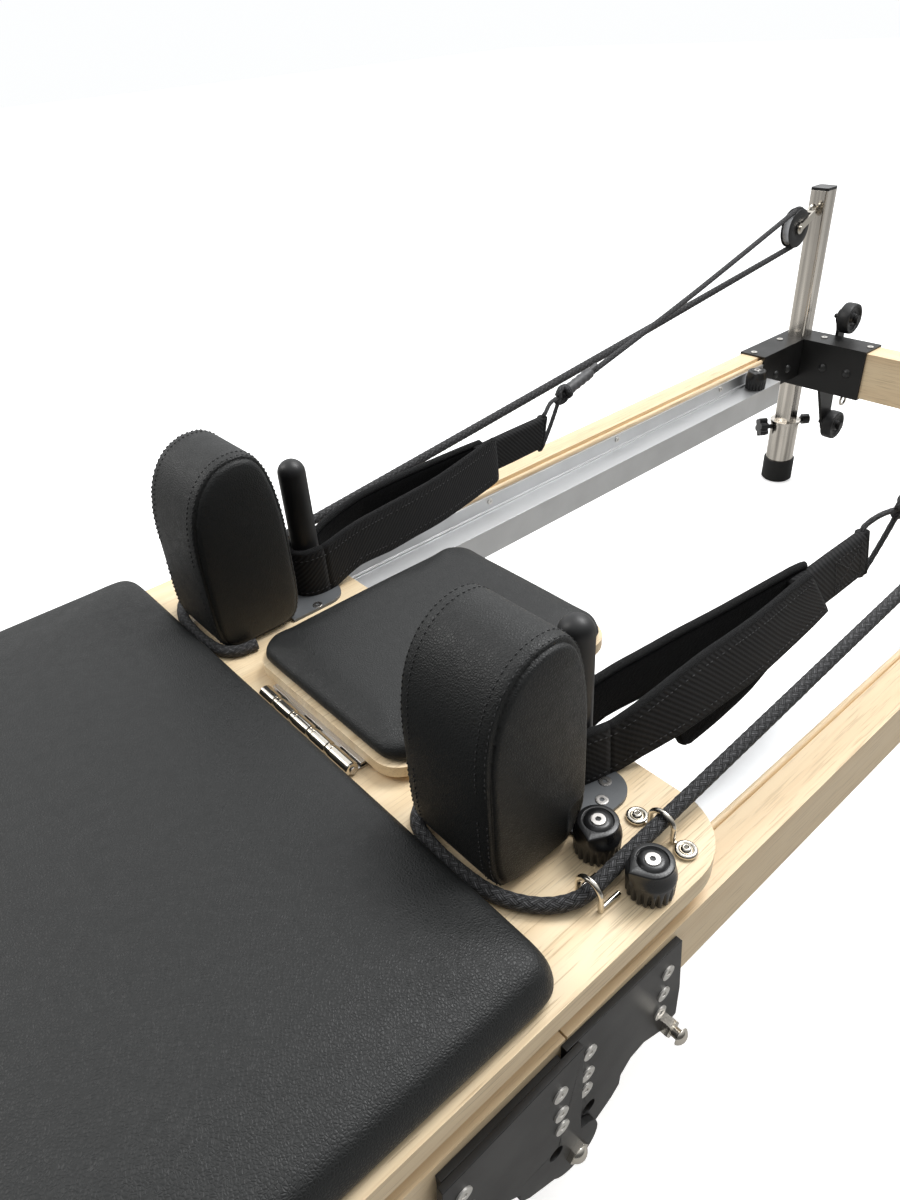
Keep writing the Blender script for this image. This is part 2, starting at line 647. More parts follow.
def clear_of_knob(rest, node, sign):
    """Presses the cushion's side in where the clamp knob stands against it."""
    low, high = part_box(node)
    middle, reach = (low + high) / 2, (high.x - low.x) / 2 * KNOB_NOSE + 0.8 * MM
    for vert in rest.data.vertices:
        off = vert.co.x - middle.x
        if abs(off) >= reach or vert.co.z > high.z + 12 * MM:
            continue
        fade = min(1.0, max(0.0, (high.z + 12 * MM - vert.co.z) / (12 * MM)))
        wall = middle.y - sign * math.sqrt(reach ** 2 - off ** 2)
        if (vert.co.y - wall) * sign > 0:
            vert.co.y += (wall - vert.co.y) * fade


def base_board(side, centre):
    """The dark base board under a shoulder rest."""
    verts = []
    rows = [(0, 0.0), (0, 4 * MM), (2 * MM, 7 * MM)]
    for inset, rise in rows:
        ring = rounded_rectangle(28 * MM - inset, 30 * MM - inset, 12 * MM)
        verts += [(centre.x + x, centre.y + y, centre.z + rise) for x, y in ring]
    make_piece(f"shoulder_rest_{side}_base", verts, ring_faces(len(rows), len(verts) // 3), "peg_plastic", "carriage")


REST_HALF_WIDTH = 44.5 * MM
REST_HALF_HEIGHT = 89.5 * MM
REST_SEAM = 41 * MM
REST_LEAN = 8 * MM
REST_TOP_POWER = 0.82
REST_BASE_POWER = 0.34


def build_cushions():
    slab_cushion("carriage_pad_cover", "carriage_pad", "carriage", 20 * MM, 13 * MM, 2.5 * MM, 6 * MM)
    slab_cushion("headrest_pad_cover", "headrest_pad", "headrest", 24 * MM, 7 * MM, 2.5 * MM, 4 * MM)
    for side, sign in SIDES.items():
        shoulder_rest(side, sign)


# ---------------------------------------------------------------- straps and ropes


class Band:
    """A strap's centre line with its width direction, outward direction and width at each point."""

    def __init__(self, controls, peg, sign):
        points = [Vector((x * MM, peg.y + sign * (y * MM - PEG_OFFSET), z * MM)) for x, y, z, lean, width in controls]
        self.path = smooth_path(points, 4 * MM)
        starts = self.control_places(points)
        places = np.arange(len(self.path))
        self.lean = np.interp(places, starts, [c[3] for c in controls])
        self.width = np.interp(places, starts, [c[4] * MM for c in controls])
        self.ahead = [(self.path[min(i + 1, len(self.path) - 1)] - self.path[max(i - 1, 0)]).normalized()
                      for i in range(len(self.path))]
        self.up = [Vector((0, sign * math.sin(math.radians(a)), math.cos(math.radians(a)))) for a in self.lean]
        self.out = [-(a.cross(u).normalized()) * sign for a, u in zip(self.ahead, self.up)]

    def control_places(self, points):
        """Index of the path point at each control point."""
        return [min(range(len(self.path)), key=lambda i: (self.path[i] - p).length) for p in points]

    def part(self, first, last):
        """A shorter band that shares its end points with its neighbours."""
        cut = object.__new__(Band)
        for key in ("path", "lean", "width", "ahead", "up", "out"):
            setattr(cut, key, getattr(self, key)[first:last])
        return cut


def ribbon(band, thickness, shift=0.0, narrower=0.0, edge=0.3):
    """A flat padded strip along a band, moved outwards by shift, with rolled long edges."""
    profile = []
    for k in range(16):
        c, s = math.cos(math.tau * k / 16), math.sin(math.tau * k / 16)
        profile.append((math.copysign(abs(c) ** edge, c), thickness / 2 * math.copysign(abs(s) ** 0.6, s)))
    verts, uvs, length = [], [], 0.0
    for i, p in enumerate(band.path):
        if i:
            length += (p - band.path[i - 1]).length
        up, out = band.up[i], band.out[i]
        half = band.width[i] / 2 - narrower
        for w, t in profile:
            verts.append(p + up * w * half + out * (t + shift))
            uvs.append((length, w * half + (t if t > 0 else 0)))
    return verts, ring_faces(len(band.path), len(profile)), uvs


def band_pieces(name, band, body):
    """Padded arm of a strap: the twill face, raised hems, a fleece lining and two sewn rows."""
    made = []
    verts, faces, uvs = ribbon(band, BAND_THICKNESS, BAND_THICKNESS * 0.3)
    made.append(make_piece(name, verts, faces, "strap_webbing", body, uvs))
    verts, faces, uvs = ribbon(band, BAND_THICKNESS, -BAND_THICKNESS * 0.4, 4 * MM)
    made.append(make_piece(name + "_lining", verts, faces, "strap_fleece", body, uvs))
    for edge, tag in ((1, "upper"), (-1, "lower")):
        hem = [p + u * edge * (w / 2 - 2 * MM) for p, u, w in zip(band.path, band.up, band.width)]
        verts, faces, uvs = swept_tube(hem, BAND_THICKNESS * 0.72, 12)
        made.append(make_piece(f"{name}_hem_{tag}", verts, faces, "strap_webbing", body, uvs))
        row = [p + u * edge * (w / 2 - 8 * MM) + o * BAND_THICKNESS * 0.82
               for p, u, o, w in zip(band.path, band.up, band.out, band.width)]
        made.append(stitches(f"{name}_row_{tag}", row, body, 4.2 * MM, 2.8 * MM))
    return made


PEG_OFFSET = 174.6 * MM
BAND_THICKNESS = 5 * MM
# Along the frame, from the centre line, above the floor, lean in degrees, width; all in mm
STRAP_CONTROLS = [
    (404, 190.5, 349, 4, 50), (390, 187, 348, 4, 52), (310, 174, 343, 4, 50),
    (262, 168, 343, 3, 49), (227, 164.5, 343, 3, 49), (185, 160.5, 344, 2, 45), (150, 157.6, 337, 0, 50),
    (136, 157.4, 336, 0, 52), (124, 162.4, 335, 0, 52), (119, 174.6, 335, 0, 52), (124, 186.8, 335, 0, 52),
    (136, 191.8, 335, 0, 52), (155, 195.0, 334, -4, 46),
    (176, 201, 340, -8, 45), (214, 206.5, 345, -12, 50), (250, 208.5, 347, -14, 51), (310, 210, 347, -14, 51),
    (375, 207.5, 348, -12, 50), (408, 205.5, 348, -9, 49),
]
FLAP_CONTROLS = [(222, 200, 318, -14, 24), (226, 200, 317, -14, 46), (236, 200, 316, -14, 54), (270, 202, 320, -14, 54),
                 (313, 203, 326, -14, 52), (375, 203, 342, -12, 44)]
TAB_CONTROLS = [(380, 200, 349, -9, 42), (440, 200.5, 349.5, -9, 43), (490, 201, 350, -9, 42)]
END_SLANT = 0.62
SLANT_START, SLANT_LENGTH = 330 * MM, 75 * MM
WRAP_END = 150 * MM


def strap(side, sign):
    """Padded loop hooked round its peg, a sewn tab, a cord triangle, a knot, a sleeve and the rope to the pulley."""
    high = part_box("strap_pegs")[1]
    peg = Vector((0, sign * (high.y - PEG_RADIUS), 0))
    loop = Band(STRAP_CONTROLS, peg, sign)
    inside = [i for i, p in enumerate(loop.path) if p.x < WRAP_END]
    first, last = inside[0], inside[-1]
    wrap = band_pieces(f"strap_{side}_wrap", loop.part(first, last + 1), "carriage")
    pieces = band_pieces(f"strap_{side}_inner", loop.part(0, first + 1), "carriage")
    outer = band_pieces(f"strap_{side}_outer", loop.part(last, len(loop.path)), "carriage")
    slant_end(outer, loop.path[-1].z)
    pieces += outer
    verts, faces, uvs = ribbon(Band(FLAP_CONTROLS, peg, sign), 8 * MM)
    pieces.append(make_piece(f"strap_{side}_flap", verts, faces, "strap_fleece", "carriage", uvs))
    tab = Band(TAB_CONTROLS, peg, sign)
    pieces += strap_tab(side, tab)
    for piece in pieces:
        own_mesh(piece)
    tether(side, sign, tab)
    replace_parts(wrap[0], "straps")


PEG_RADIUS = 13 * MM


def slant_end(pieces, middle):
    """Shears the free end of the outer arm, so its top stops short of its bottom."""
    for piece in pieces:
        for vert in piece.data.vertices:
            share = min(1.0, max(0.0, (vert.co.x - SLANT_START) / SLANT_LENGTH))
            vert.co.x -= (vert.co.z - middle) * END_SLANT * share


def strap_tab(side, tab):
    """Doubled webbing that closes the loop, sewn in a box with a cross, and the fold that holds the cord."""
    verts, faces, uvs = ribbon(tab, 12 * MM, 0.0, 0.0, 0.2)
    made = [make_piece(f"strap_{side}_tab", verts, faces, "strap_webbing", "carriage", uvs)]
    start, end = tab.path[0], tab.path[-1]
    along, up, out = (end - start).normalized(), tab.up[0], tab.out[0]
    roll = [end + up * w * tab.width[-1] / 2 for w in np.linspace(-0.98, 0.98, 9)]
    verts, faces, uvs = swept_tube(roll, 6.3 * MM, 16)
    made.append(make_piece(f"strap_{side}_tab_roll", verts, faces, "strap_webbing", "carriage", uvs))
    half = tab.width[0] / 2 - 6 * MM
    far = (end - start).length - 12 * MM
    near = far - 42 * MM
    corners = [(near, -half), (far, -half), (far, half), (near, half), (near, -half), (far, half), (far, -half),
               (near, half)]
    row = []
    for (x0, z0), (x1, z1) in zip(corners, corners[1:]):
        for k in range(14):
            t = k / 14
            row.append(start + along * (x0 + (x1 - x0) * t) + up * (z0 + (z1 - z0) * t) + out * 6.1 * MM)
    made.append(stitches(f"strap_{side}_tab_stitching", row, "carriage", 3.6 * MM, 2.6 * MM))
    return made


def tether(side, sign, tab):
    """The cord triangle, the knot, the grey sleeve and the thin rope that runs up to the pulley."""
    body = "head_frame"
    low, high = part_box(f"pulley_sheave_{side}")
    sheave = (low + high) / 2
    leave = Vector((sheave.x, sheave.y, sheave.z + (high.z - low.z) / 2 - GROOVE_INSET))
    end, up = tab.path[-1], tab.up[-1]
    knot = end + Vector((43 * MM, sign * 8 * MM, 31 * MM))
    run = (leave - knot).normalized()
    side_way = run.cross(AXIS_Z).normalized()
    lift = side_way.cross(run)
    half = tab.width[-1] / 2
    top, bottom = end + up * half * 1.06, end - up * half * 1.06
    cord = [knot, (top * 0.55 + knot * 0.45) + Vector((0, 0, 5 * MM)), top + Vector((5 * MM, 0, 2.5 * MM)),
            top - up * 3 * MM, end, bottom + up * 3 * MM, bottom + Vector((5 * MM, 0, -1.5 * MM)),
            (bottom + knot) / 2 + Vector((3 * MM, 0, -3 * MM)), knot]
    made = [rope_piece(f"tether_{side}_cord", cord, 2.3 * MM, body)]
    noose = [knot + run * (2 * MM - 9 * MM * math.cos(a)) + lift * 8.5 * MM * math.sin(a)
             + side_way * 1.5 * MM * math.sin(2 * a) for a in np.linspace(0.4, math.tau - 0.4, 15)]
    made.append(rope_piece(f"tether_{side}_noose", noose, 3.6 * MM, body))
    coil = [knot + run * (9 * MM + 4.5 * MM * k / 24) + (lift * math.sin(k / 24 * math.tau * 2)
            + side_way * math.cos(k / 24 * math.tau * 2)) * 6.3 * MM for k in range(25)]
    made.append(rope_piece(f"tether_{side}_coil", coil, 3.2 * MM, body))
    sleeve_end = knot + run * 62 * MM
    sleeve = smooth_path([knot + run * 9 * MM, knot + run * 36 * MM, sleeve_end], 2 * MM)
    swell = [6.9 * MM + 0.35 * MM * math.sin(i * 1.3) for i in range(len(sleeve))]
    swell[0] = swell[-1] = 5.6 * MM
    verts, faces, uvs = swept_tube(sleeve, swell, 24)
    made.append(make_piece(f"tether_{side}_sleeve", verts, faces, "sleeve", body, uvs))
    tail = [sleeve_end - run * 6 * MM + lift * 2.6 * MM, sleeve_end + run * 13 * MM + lift * 3.4 * MM]
    verts, faces, uvs = swept_tube(smooth_path(tail, 2 * MM), 3.2 * MM, 16)
    made.append(make_piece(f"tether_{side}_tail", verts, faces, "sleeve", body, uvs))
    middle = (knot + leave) / 2 - Vector((0, 0, 4 * MM))
    strand = [knot + run * 4 * MM, sleeve_end - AXIS_Z * 1.5 * MM, middle, leave]
    made.append(rope_piece(f"rope_{side}_to_strap", strand, 3.5 * MM, body))
    for piece in made:
        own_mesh(piece)


GROOVE_INSET = 1 * MM


def long_rope(side, sign):
    """Rope from the pulley through both eyes and between the knobs, then round the foot of the shoulder rest."""
    low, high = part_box(f"pulley_sheave_{side}")
    sheave = (low + high) / 2
    groove = (high.z - low.z) / 2 - GROOVE_INSET
    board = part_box("carriage_board")[1].z
    knobs = [centre_of(f"rope_knob_{side}_{w}") for w in ("inner", "outer")]
    gap = (knobs[0] + knobs[1]) / 2
    eyes_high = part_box("rope_eyes")[1]
    eye_1 = Vector((eyes_high.x - 8 * MM, gap.y, board + 14 * MM))
    start = Vector((sheave.x, sheave.y, sheave.z - groove))
    sag = [start + (eye_1 - start) * t - Vector((0, 0, ROPE_SAG * 4 * t * (1 - t))) for t in np.linspace(0, 1, 7)]
    piece = rope_piece(f"rope_{side}_to_pulley", sag, FAR_ROPE_RADIUS, "head_frame", ROPE_RADIUS)
    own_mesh(piece)
    lead = (sag[-1] - sag[-2]).normalized()
    lie = board + 5.6 * MM
    lay = [eye_1 - lead * 8 * MM, eye_1, Vector((gap.x, gap.y + sign * 0.5 * MM, board + 11.5 * MM))]
    lay += [Vector((x * MM, sign * y * MM, lie + z * MM)) for x, y, z in ROPE_ON_BOARD]
    rope = rope_piece(f"rope_{side}_laid", lay, ROPE_RADIUS, "carriage")
    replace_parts(rope, "ropes")
    wrap = []
    for k in range(33):
        a = math.pi * (k / 32 * 1.1 - 0.55)
        wrap.append(Vector((sheave.x + groove * math.cos(a), sheave.y, sheave.z + groove * math.sin(a))))
    verts, faces, uvs = swept_tube(smooth_path(wrap, 1.3 * MM), 3.7 * MM, 32, plaits)
    make_piece(f"rope_{side}_on_sheave", verts, faces, "rope_braid", f"block_{side}", uvs)


ROPE_RADIUS = 5.1 * MM
FAR_ROPE_RADIUS = 3.9 * MM
ROPE_SAG = 1 * MM
# Along the frame, from the centre line, above the board; all in mm
ROPE_ON_BOARD = [(58, 258.5, 4.4), (46, 254.5, 1.8), (34, 245.5, 0.2), (23, 231.5, 0), (15, 213, 0), (12, 190, 0),
                 (12, 163, 0), (16, 141, 0), (27, 129, 0), (44, 126, 0)]


def build_ropes():
    for side, sign in SIDES.items():
        strap(side, sign)
        long_rope(side, sign)


# ---------------------------------------------------------------- knobs, wheels and springs


def teardrop(angle, pointer, circle, nose):
    """Radius at an angle of a circle drawn out to a nose in the pointer's direction."""
    off = abs((angle - pointer + math.pi) % math.tau - math.pi)
    reach = math.acos(circle / nose)
    return circle / math.cos(reach - off) if off < reach else circle


def knob(name, body, box, heading):
    """Fluted clamp knob with a teardrop crown whose nose points along a heading, a ring groove and a socket screw."""
    low, high = box
    centre = Vector(((low.x + high.x) / 2, (low.y + high.y) / 2, low.z))
    radius, height = (high.x - low.x) / 2, high.z - low.z
    steps, verts = KNOB_FLUTES * 8, []
    rows = [("skirt", h) for h in (0.0, 0.03, 0.12, 0.25, 0.38, 0.42, 0.46, 0.50, 0.54)]
    rows += [("crown", t) for t in (0.0, 0.15, 0.3, 0.5, 0.8, 0.97, 1.0)]
    rows += [("top", r) for r in (0.985, 0.96, 0.94, 0.88)]
    rows += [("disc", r) for r in ((0.66, 0.985), (0.63, 0.98), (0.615, 0.94), (0.59, 0.94), (0.575, 0.985),
                                   (0.34, 0.99))]
    for kind, value in rows:
        for k in range(steps):
            a = math.tau * k / steps
            tear = teardrop(a, heading, 0.86, KNOB_NOSE)
            if kind == "skirt":
                bias = -0.3 + 1.3 * min(1.0, max(0.0, (value - 0.30) / 0.24))
                cut = max(0.0, math.cos(KNOB_FLUTES * a) - bias) / 1.3
                r, h = 0.95 + 0.05 * min(1.0, value * 1.6) - 0.13 * cut - (0.03 if value == 0 else 0), value
            elif kind == "crown":
                r, h = 1.0 + (tear - 1.0) * min(1.0, value * 1.25) ** 1.3, 0.56 + 0.37 * value
            elif kind == "top":
                r, h = tear * value, 0.93 + 0.035 * math.sqrt(1 - ((value - 0.88) / 0.12) ** 2)
            else:
                r, h = value
            verts.append(centre + Vector((math.cos(a), math.sin(a), 0)) * r * radius + AXIS_Z * h * height)
    piece = make_piece(name, verts, ring_faces(len(rows), steps), "black_plastic", body)
    socket_screw(name + "_screw", centre + AXIS_Z * (height * 0.985), radius * 0.32, 0.9 * MM, body)
    return piece


KNOB_FLUTES = 20
KNOB_NOSE = 1.14


def turned_rows(rows, centre, out, side, up, around=48):
    """Corner points of rows of (radius, height, hexagonal) about a direction; hexagonal rows have six flats."""
    verts = []
    for radius, height, hexagonal in rows:
        for k in range(around):
            a = math.tau * k / around
            flats = math.cos(math.pi / 6) / math.cos(a % (math.tau / 6) - math.pi / 6) if hexagonal else 1.0
            verts.append(centre + out * height + (side * math.cos(a) + up * math.sin(a)) * radius * flats)
    return verts


def socket_screw(name, centre, radius, rise, body):
    """Steel screw head with a chamfered rim and a hexagon socket."""
    rows = [(1.0, 0.0, False), (1.0, 0.6, False), (0.93, 0.95, False), (0.80, 1.0, False), (0.42, 1.0, True),
            (0.40, 0.1, True)]
    verts = turned_rows([(r * radius, h * rise, six) for r, h, six in rows], centre, AXIS_Z, AXIS_X, AXIS_Y)
    return make_piece(name, verts, ring_faces(len(rows), 48), "stainless", body, smooth=False)


def button_screw(name, centre, radius, rise, body):
    """Domed screw head with a flange and a hexagon socket."""
    rows = [(1.12, 0.0), (1.12, 0.12), (1.0, 0.2), (0.97, 0.45), (0.86, 0.72), (0.68, 0.92), (0.50, 1.0)]
    rows = [(r, h, False) for r, h in rows] + [(0.40, 1.0, True), (0.36, 0.25, True)]
    around = 40
    verts = turned_rows([(r * radius, h * rise, six) for r, h, six in rows], centre, AXIS_Z, AXIS_X, AXIS_Y, around)
    return make_piece(name, verts, ring_faces(len(rows), around), "nickel", body)


def build_screws():
    """Button heads in the rope eyes' loops and flush heads in the peg plates."""
    eyes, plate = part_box("rope_eyes")[1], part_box("peg_plates")[1]
    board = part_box("carriage_board")[1].z
    for side, sign in SIDES.items():
        for tag, y in (("outer", eyes.y - 8 * MM), ("inner", eyes.y - 8 * MM - EYE_SCREW_SPACING)):
            spot = Vector((eyes.x - 8 * MM, sign * y, board + 1.5 * MM))
            piece = button_screw(f"eye_screw_{side}_{tag}", spot, 4.3 * MM, 4 * MM, "carriage")
        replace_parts(piece, "carriage_screws")
        for n, (x, y) in enumerate(((13, 21), (34, 81), (28, 11))):
            spot = Vector((plate.x - x * MM, sign * (plate.y - y * MM), plate.z - 0.2 * MM))
            socket_screw(f"plate_screw_{side}_{n}", spot, 4.8 * MM, 0.9 * MM, "carriage")


EYE_SCREW_SPACING = 40.6 * MM


def build_knobs():
    for side, sign in SIDES.items():
        for which, heading in (("inner", -160), ("outer", 166)):
            node = f"rope_knob_{side}_{which}"
            piece = knob(node + "_body", f"knob_{side}_{which}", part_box(node), math.radians(-heading * sign))
            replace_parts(piece, node)
    low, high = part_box("track_stoppers")
    width = high.x - low.x
    for side, sign in SIDES.items():
        y = sign * (high.y - width / 2)
        box = (Vector((low.x, y - width / 2, low.z)), Vector((high.x, y + width / 2, high.z)))
        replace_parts(knob(f"track_stopper_{side}_body", "stoppers", box, math.radians(200)), "track_stoppers")


def build_sheaves():
    """Light grey sheaves with a rope groove between black flanges."""
    for side in SIDES:
        node, body = f"pulley_sheave_{side}", f"sheave_{side}"
        low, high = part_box(node)
        centre, radius, half = (low + high) / 2, (high.z - low.z) / 2, (high.y - low.y) / 2
        bore, lip = 4.3 * MM, half - 1.6 * MM
        core = [(bore, -lip), (radius * 0.90, -lip), (radius * 0.83, -lip * 0.7), (radius * 0.79, -lip * 0.35),
                (radius * 0.775, 0), (radius * 0.79, lip * 0.35), (radius * 0.83, lip * 0.7), (radius * 0.90, lip),
                (bore, lip)]
        verts, _ = lathe(core, centre, AXIS_Y, 72)
        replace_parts(make_piece(node + "_core", verts, ring_faces(len(core), 72, loop=True), "sheave_plastic", body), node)
        for way, tag in ((1, "outer"), (-1, "inner")):
            flange = [(bore, lip), (radius * 0.98, lip), (radius, lip + 0.4 * MM), (radius, half - 0.4 * MM),
                      (radius * 0.975, half), (radius * 0.45, half), (radius * 0.42, half - 0.5 * MM),
                      (bore, half - 0.5 * MM)]
            verts, _ = lathe([(r, y * way) for r, y in flange], centre, AXIS_Y, 72)
            make_piece(f"{node}_flange_{tag}", verts, ring_faces(len(flange), 72, loop=True), "wheel_rubber", body)


def build_hinge():
    """Turned sleeves round the hinge's knuckles, each with a necked collar, on the leaf they belong to."""
    low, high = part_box(HINGE_NODE)
    half = (high.y - low.y) / 2
    axis = Vector((HINGE_X, 0, HINGE_Z))
    length = 2 * half / HINGE_KNUCKLES
    for n in range(HINGE_KNUCKLES):
        body = "headrest" if n % 2 else "carriage"
        start, end = -half + n * length, -half + (n + 1) * length
        profile = [(3.2, start + 0.3 * MM), (5.4, start + 0.3 * MM), (6.1, start + 1.0 * MM), (6.1, end - 6.2 * MM),
                   (5.5, end - 5.6 * MM), (5.0, end - 5.4 * MM), (5.0, end - 2.2 * MM), (5.6, end - 2.0 * MM),
                   (5.6, end - 0.5 * MM), (5.0, end - 0.1 * MM), (3.2, end - 0.1 * MM)]
        if n == HINGE_KNUCKLES - 1:
            profile = [(3.2, start + 0.3 * MM), (5.4, start + 0.3 * MM), (6.1, start + 1.0 * MM), (6.1, end - 1.0 * MM),
                       (5.2, end), (1.5, end + 0.8 * MM)]
        verts, faces = lathe([(r * MM, y) for r, y in profile], axis, -AXIS_Y, 40)
        piece = make_piece(f"hinge_sleeve_{n}", verts, faces, "nickel", body)
        sharpen(piece, 35)


HINGE_NODE = "headrest_hinge_leaf"
HINGE_X, HINGE_Z = 15 * MM, 315 * MM
HINGE_KNUCKLES = 5


def sharpen(obj, degrees):
    """Marks edges sharper than an angle, so that smooth shading stops at them."""
    mesh = bmesh.new()
    mesh.from_mesh(obj.data)
    for edge in mesh.edges:
        edge.smooth = len(edge.link_faces) < 2 or edge.calc_face_angle(0) < math.radians(degrees)
    mesh.to_mesh(obj.data)
    mesh.free()


def build_grip():
    """Foam sleeve on the footbar, with rolled ends and shallow finger rings."""
    low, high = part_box("footbar_grip")
    centre, radius, half = (low + high) / 2, (high.x - low.x) / 2, (high.y - low.y) / 2
    profile = [(radius * 0.74, -half), (radius * 0.9, -half), (radius * 0.98, -half + 2 * MM)]
    for y in np.linspace(-half + 5 * MM, half - 5 * MM, 120):
        near_end = min(1.0, (half - abs(y)) / (60 * MM))
        profile.append((radius * (1 - 0.03 * near_end * max(0.0, math.sin(y / (9 * MM) * math.tau)) ** 6), y))
    profile += [(radius * 0.98, half - 2 * MM), (radius * 0.9, half), (radius * 0.74, half)]
    verts, faces = lathe(profile, centre, AXIS_Y, 48)
    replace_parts(make_piece("footbar_grip_foam", verts, faces, "grip_foam", "footbar_arm"), "footbar_grip")


def wheel(name, node, body, sign, hub):
    """Tyre with rounded shoulders on a dished hub, in the place of one wheel of a CAD pair."""
    low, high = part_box(node)
    radius, middle = (high.x - low.x) / 2, (low + high) / 2
    width = WHEEL_WIDTHS[node]
    centre = Vector((middle.x, sign * (high.y - width / 2), middle.z))
    half = width / 2
    tyre = [(0.74, -0.80), (0.80, -0.94), (0.90, -1.0), (0.965, -0.90), (0.995, -0.62), (1.0, 0.0), (0.995, 0.62),
            (0.965, 0.90), (0.90, 1.0), (0.80, 0.94), (0.74, 0.80), (0.72, 0.0)]
    verts, _ = lathe([(radius * r, half * h) for r, h in tyre], centre, AXIS_Y, 56)
    piece = make_piece(name, verts, ring_faces(len(tyre), 56, loop=True), "wheel_rubber", body)
    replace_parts(piece, node)
    bore = 4.4 * MM
    rim = [(bore, -half * 0.95), (radius * 0.34, -half * 0.95), (radius * 0.38, -half * 0.55), (radius * 0.66, -half * 0.5),
           (radius * 0.735, -half * 0.78), (radius * 0.735, half * 0.78), (radius * 0.66, half * 0.5),
           (radius * 0.38, half * 0.55), (radius * 0.34, half * 0.95), (bore, half * 0.95)]
    verts, _ = lathe(rim, centre, AXIS_Y, 56)
    make_piece(name + "_hub", verts, ring_faces(len(rim), 56, loop=True), hub, body)


WHEEL_WIDTHS = {"head_upper_wheels": 20 * MM, "head_lower_wheels": 20 * MM, "foot_lower_wheels": 20 * MM,
                "front_load_wheels": 20 * MM, "rear_load_wheels": 20 * MM}
WHEEL_BODIES = {"head_upper_wheels": "end_wheels_upper", "head_lower_wheels": "end_wheels_lower",
                "foot_lower_wheels": "end_wheels_foot", "front_load_wheels": "front_wheels",
                "rear_load_wheels": "rear_wheels"}


def axle_end(name, centre, outward, body):
    """Washer, hexagon nut and bolt end on a wheel's face."""
    nut = 8.512
    rows = [(10, 0, False), (10, 1.4, False), (nut, 1.4, True), (nut, 8.2, True), (6.6, 9.2, False), (3.8, 9.2, False),
            (3.8, 14.4, False), (3.0, 15.4, False)]
    verts = turned_rows([(r * MM, h * MM, six) for r, h, six in rows], centre, outward, AXIS_X, AXIS_Z)
    make_piece(name, verts, ring_faces(len(rows), 48), "wheel_rubber", body, smooth=False)


def build_wheels():
    for node, body in WHEEL_BODIES.items():
        hub = "load_wheel" if "load" in node else "black_plastic"
        for side, sign in SIDES.items():
            wheel(f"{node}_{side}", node, body, sign, hub)
            if "load" in node:
                continue
            low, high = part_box(node)
            spot = Vector(((low.x + high.x) / 2, sign * high.y, (low.z + high.z) / 2))
            axle_end(f"{node}_{side}_nut", spot, AXIS_Y * sign, body)


def build_springs():
    """Five close-wound coils with a hook at the foot end and a hanger at the carriage end."""
    low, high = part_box("springs")
    centre_z = SPRING_Z
    start_x, end_x = low.x + 19 * MM, high.x - 30 * MM
    reach = (high.y - low.y) / 2 - SPRING_RADIUS
    wire, coil = 1.6 * MM, SPRING_RADIUS - 1.6 * MM
    parts = []
    for lane in range(-2, 3):
        y = lane * reach / 2
        turns = (end_x - start_x) / SPRING_PITCH
        steps = int(turns * 14)
        path = [Vector((low.x + 9 * MM + 9 * MM * math.cos(a), y + 9 * MM * math.sin(a), centre_z))
                for a in np.linspace(-2.6, 0.0, 12)]
        path += [Vector((start_x + (end_x - start_x) * i / steps,
                         y + coil * math.sin(math.tau * i / 14) * min(1, i / 20),
                         centre_z + coil * math.cos(math.tau * i / 14) * min(1, i / 20))) for i in range(2, steps)]
        path.append(Vector((end_x + 4 * MM, y, centre_z)))
        verts, faces, _ = swept_tube(path, wire, 6)
        parts.append((verts, faces))
        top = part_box("carriage_board")[0].z
        hanger = [Vector((end_x + 2 * MM, y, centre_z)), Vector((end_x + 6 * MM, y, centre_z + 10 * MM)),
                  Vector((end_x + 8 * MM, y, top - 3 * MM)), Vector((end_x + 26 * MM, y, top - 2.2 * MM))]
        path = smooth_path(hanger, 3 * MM)
        parts.append(flat_strip(path, AXIS_Y, 20 * MM, 2.5 * MM))
    verts, faces = merged(parts)
    piece = make_piece("spring_coils", verts, faces, "spring_steel", "carriage")
    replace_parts(piece, "springs")


SPRING_Z = 258 * MM
SPRING_RADIUS = 12 * MM
SPRING_PITCH = 4.2 * MM


# ---------------------------------------------------------------- CAD nodes


def dress_cad_nodes():
    """Each CAD node that stays on show gets its slot's material and softened edges."""
    for row in frame["record"]["subparts"]:
        node, slot = row["node"], row["material_slot"]
        obj = NODES[node]
        if obj.hide_render:
            continue
        material = MATERIALS[NODE_MATERIALS.get(node, slot)]
        obj.data.materials.clear()
        obj.data.materials.append(material)
        soften(obj, SOFT_EDGES.get(slot, 0.35 * MM))


def soften(obj, width):
    weld = obj.modifiers.new("weld", "WELD")
    weld.merge_threshold = 0.002 * MM
    bevel = obj.modifiers.new("soft_edges", "BEVEL")
    bevel.width = width
    bevel.segments = 2
    bevel.limit_method = "ANGLE"
    bevel.angle_limit = math.radians(38)
    weighted = obj.modifiers.new("even_shading", "WEIGHTED_NORMAL")
    weighted.keep_sharp = True
    weighted.weight = 60
    obj.data.polygons.foreach_set("use_smooth", [True] * len(obj.data.polygons))


NODE_MATERIALS = {"head_end_bar": "bar_wood", "foot_end_bar": "bar_wood", "foot_platform": "bar_wood",
                  "head_screws": "screws", "foot_screws": "screws"}
SOFT_EDGES = {"rail_wood": 1.2 * MM, "ply_wood": 1.5 * MM, "black_steel": 0.5 * MM, "rubber": 1.0 * MM}


# ---------------------------------------------------------------- stage, light and camera


def seen_directly(tree):
    """A socket that is 1 where the camera looks straight at a surface or the sky."""
    return tree.nodes.new("ShaderNodeLightPath").outputs["Is Camera Ray"]


